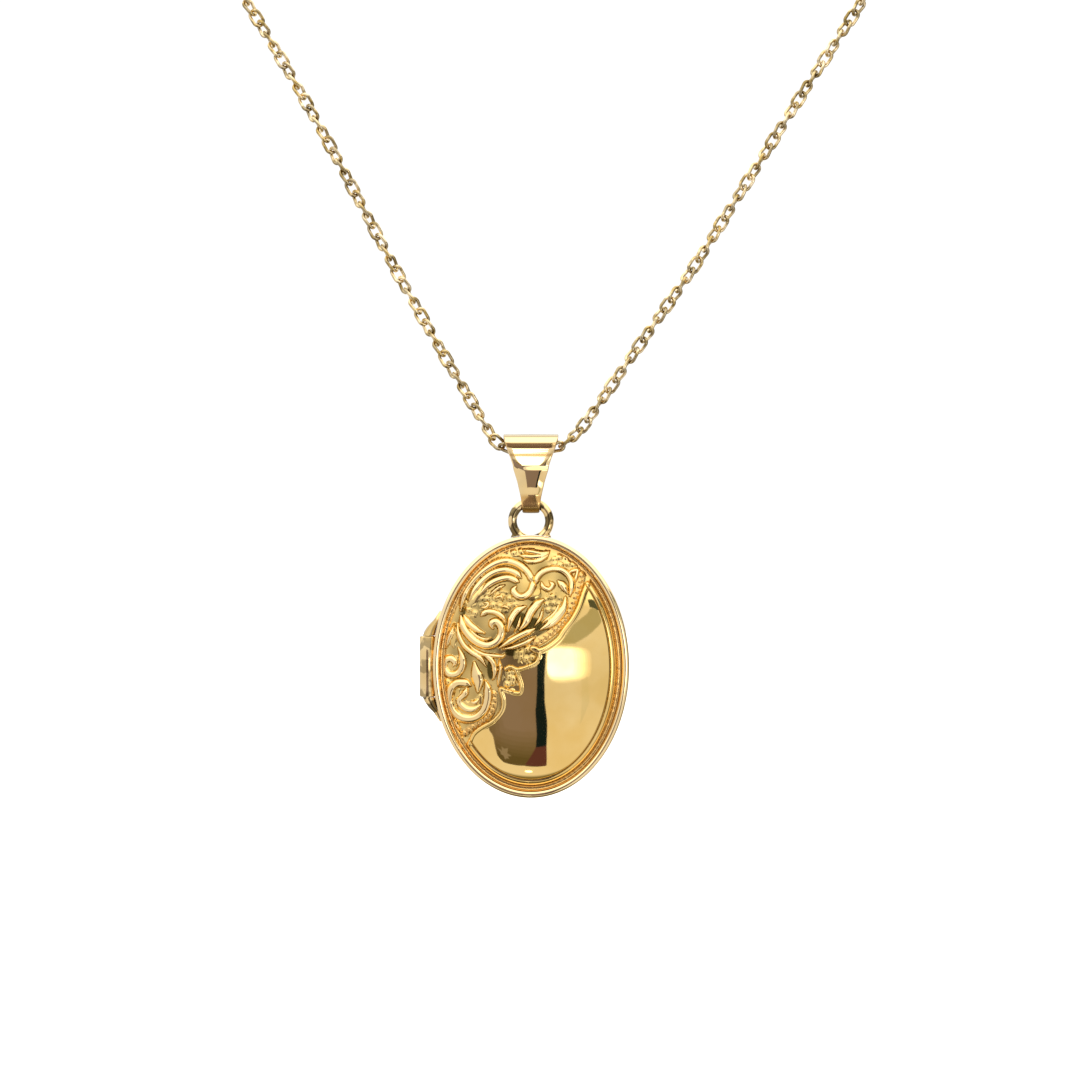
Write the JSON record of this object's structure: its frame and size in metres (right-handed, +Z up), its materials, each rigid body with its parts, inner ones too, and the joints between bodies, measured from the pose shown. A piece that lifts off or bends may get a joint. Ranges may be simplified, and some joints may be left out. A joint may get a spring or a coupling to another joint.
{
  "type": "oval locket",
  "caption": "Oval domed locket with a side hinge, scrollwork front, strap bail and twisted chain ending in a bolt-ring clasp and tab.",
  "frame": {"origin": "centre of the bail's eye, the tube that the chain runs through", "axes": "+Z up along the hanging locket, -Y out of the locket's front face, +X to the right of the face; the covers meet on y = 0"},
  "size_m": [0.0592, 0.0052, 0.0698],
  "materials": {
    "gold_cover": "polished",
    "gold_inner": "satin",
    "gold_fittings": "polished",
    "gold_chain": "polished",
    "spring_steel": "satin",
    "clear_window": "gloss",
    "photo_card": "matte"
  },
  "bodies": {
    "chain": {"chain_strand_left": "gold_chain", "chain_strand_right": "gold_chain", "jump_ring_left": "gold_chain", "jump_ring_right": "gold_chain", "clasp_body": "gold_chain", "clasp_spring": "spring_steel", "clasp_tag": "gold_chain"},
    "clasp_bolt": {"clasp_bolt": "gold_chain"},
    "bail": {"bail": "gold_fittings"},
    "locket_back": {"back_cover": "gold_cover", "catch_rim": "gold_inner", "hinge_knuckle_upper": "gold_fittings", "hinge_knuckle_lower": "gold_fittings", "hinge_pin": "gold_fittings", "suspension_ring": "gold_fittings", "back_photo_frame": "gold_inner", "back_window": "clear_window", "back_photo_card": "photo_card"},
    "locket_front": {"front_cover": "gold_cover", "hinge_knuckle_middle": "gold_fittings", "front_photo_frame": "gold_inner", "front_window": "clear_window", "front_photo_card": "photo_card"}
  },
  "joints": [
    {"name": "cover_hinge", "type": "hinge", "parent": "locket_back", "child": "locket_front", "pos_m": [-0.00788, 0, -0.01648], "axis": [0, 0, -1], "range_deg": [0, 175]},
    {"name": "locket_swing", "type": "hinge", "parent": "bail", "child": "locket_back", "pos_m": [0, 0, -0.00405], "axis": [1, 0, 0], "range_deg": [-60, 60]},
    {"name": "bail_swing", "type": "hinge", "parent": "chain", "child": "bail", "pos_m": [0, 0, 0], "axis": [1, 0, 0], "range_deg": [-45, 45]},
    {"name": "clasp_bolt_pull", "type": "hinge", "parent": "chain", "child": "clasp_bolt", "pos_m": [-0.02573, 0, 0.04072], "axis": [0, 1, 0], "range_deg": [0, 40], "stiffness_Nm_per_rad": 0.00002, "springref_deg": -11.46, "deforming": ["clasp_spring"]}
  ]
}
